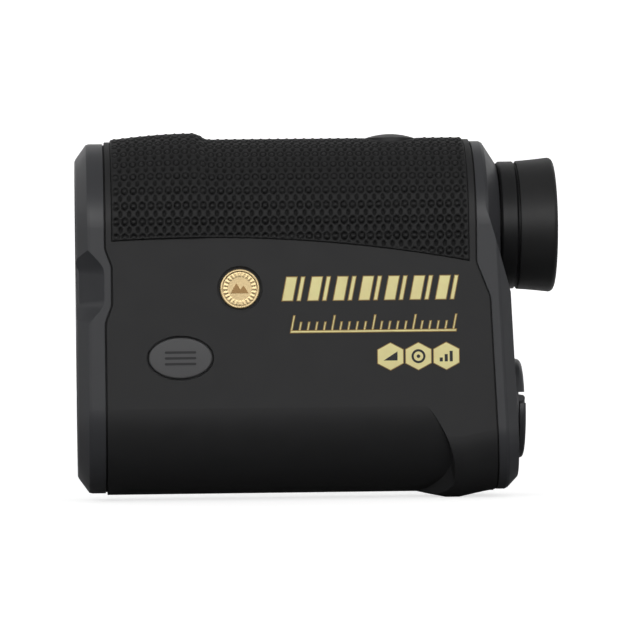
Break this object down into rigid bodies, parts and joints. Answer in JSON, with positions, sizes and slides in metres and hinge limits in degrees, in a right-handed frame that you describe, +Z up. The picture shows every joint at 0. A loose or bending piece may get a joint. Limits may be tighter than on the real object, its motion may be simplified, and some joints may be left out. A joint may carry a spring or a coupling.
{
  "type": "laser rangefinder",
  "caption": "Pocket laser rangefinder: a monocular above a laser receiver, with a focusing eyepiece, push buttons and a battery cap with a folding tab.",
  "frame": {"origin": "at the height of the rear foot, at mid-width, under the middle of the overall length", "axes": "+X along the sight axis from the objective to the eyepiece, +Z up, -Y the side with the mode button"},
  "size_m": [0.097, 0.0368, 0.0742],
  "materials": {
    "shell_plastic": "soft-touch coating",
    "bezel_plastic": "satin",
    "grip_rubber": "moulded texture",
    "seal_rubber": "smooth",
    "button_plastic": "satin",
    "dark_button": "matt",
    "gold": "satin, raised ring pattern",
    "steel": "plain",
    "black_steel": "black oxide",
    "black_aluminium": "black anodised",
    "frame_plastic": "glass-filled, matt",
    "coated_glass": "anti-reflection coating",
    "prism_glass": "polished",
    "board": "solder resist",
    "chip": "moulded epoxy",
    "tin": "tin plated",
    "gilt": "plated contact",
    "ribbon": "polyimide film",
    "wire": "insulated wire",
    "cell_wrap": "printed sleeve"
  },
  "bodies": {
    "case": {"left_shell": "shell_plastic", "right_shell": "shell_plastic", "front_bezel": "bezel_plastic", "rear_bezel": "bezel_plastic", "front_gasket": "seal_rubber", "rear_gasket": "seal_rubber", "grip_pad": "grip_rubber", "badge": "gold", "lanyard_pin": "steel", "shell_screws": "black_steel", "bezel_screws": "steel", "chassis": "frame_plastic", "objective_cell": "black_aluminium", "objective_crown_lens": "coated_glass", "objective_flint_lens": "coated_glass", "objective_retainer": "black_aluminium", "lens_seals": "seal_rubber", "dichroic_mirror": "coated_glass", "laser_diode": "gilt", "laser_board": "board", "front_prism": "prism_glass", "roof_prism": "prism_glass", "prism_holder": "frame_plastic", "prism_cover": "frame_plastic", "display_frame": "frame_plastic", "reticle_display": "coated_glass", "display_ribbon": "ribbon", "receiver_tube": "frame_plastic", "receiver_lens": "coated_glass", "receiver_retainer": "black_aluminium", "detector": "gilt", "detector_board": "board", "main_board": "board", "board_chips": "chip", "shield_can": "tin", "battery_leads": "wire", "mode_switch": "chip", "button_board": "board", "power_switch": "chip", "eyepiece_tube": "black_aluminium", "battery_tube": "frame_plastic", "battery": "cell_wrap", "positive_contact": "gilt"},
    "mode_button": {"mode_button": "button_plastic"},
    "mode_plunger": {"mode_plunger": "dark_button"},
    "power_button": {"power_button": "dark_button"},
    "power_plunger": {"power_plunger": "button_plastic"},
    "focus_ring": {"diopter_ring": "black_aluminium", "eyecup": "seal_rubber"},
    "ocular": {"ocular_cell": "black_aluminium", "field_lens": "coated_glass", "eye_lens": "coated_glass", "ocular_retainer": "black_aluminium", "ocular_seal": "seal_rubber", "focus_pins": "steel"},
    "cap_carrier": {"cap_contact": "gilt"},
    "cap": {"battery_cap": "bezel_plastic", "cap_seal": "seal_rubber", "cap_tab_pin": "steel"},
    "tab": {"cap_tab": "bezel_plastic"}
  },
  "joints": [
    {"name": "mode_press", "type": "slide", "parent": "case", "child": "mode_button", "axis": [0, 1, 0], "range_m": [0, 0.0005]},
    {"name": "mode_plunger_press", "type": "slide", "parent": "case", "child": "mode_plunger", "axis": [0, 1, 0], "range_m": [0, 0.00051]},
    {"name": "power_press", "type": "slide", "parent": "case", "child": "power_button", "axis": [0, 0, -1], "range_m": [0, 0.00065]},
    {"name": "power_plunger_press", "type": "slide", "parent": "case", "child": "power_plunger", "axis": [0, 0, -1], "range_m": [0, 0.00066]},
    {"name": "focus_turn", "type": "hinge", "parent": "case", "child": "focus_ring", "pos_m": [0.039, 0, 0.055], "axis": [1, 0, 0], "range_deg": [-60, 60]},
    {"name": "focus_travel", "type": "slide", "parent": "case", "child": "ocular", "axis": [1, 0, 0], "range_m": [-0.00134, 0.00134]},
    {"name": "cap_advance", "type": "slide", "parent": "case", "child": "cap_carrier", "axis": [1, 0, 0], "range_m": [0, 0.00351]},
    {"name": "cap_turn", "type": "hinge", "parent": "cap_carrier", "child": "cap", "pos_m": [0.039, 0, 0.0175], "axis": [1, 0, 0], "range_deg": [0, 120]},
    {"name": "tab_flip", "type": "hinge", "parent": "cap", "child": "tab", "pos_m": [0.04112, 0, 0.0199], "axis": [0, -1, 0], "range_deg": [0, 100]}
  ],
  "couplings": [
    {"joint": "mode_plunger_press", "follows": "mode_press", "ratio": 1},
    {"joint": "power_plunger_press", "follows": "power_press", "ratio": 1},
    {"joint": "focus_travel", "follows": "focus_turn", "m_per_rad": 0.0012732},
    {"joint": "cap_advance", "follows": "cap_turn", "m_per_rad": 0.0016711}
  ]
}
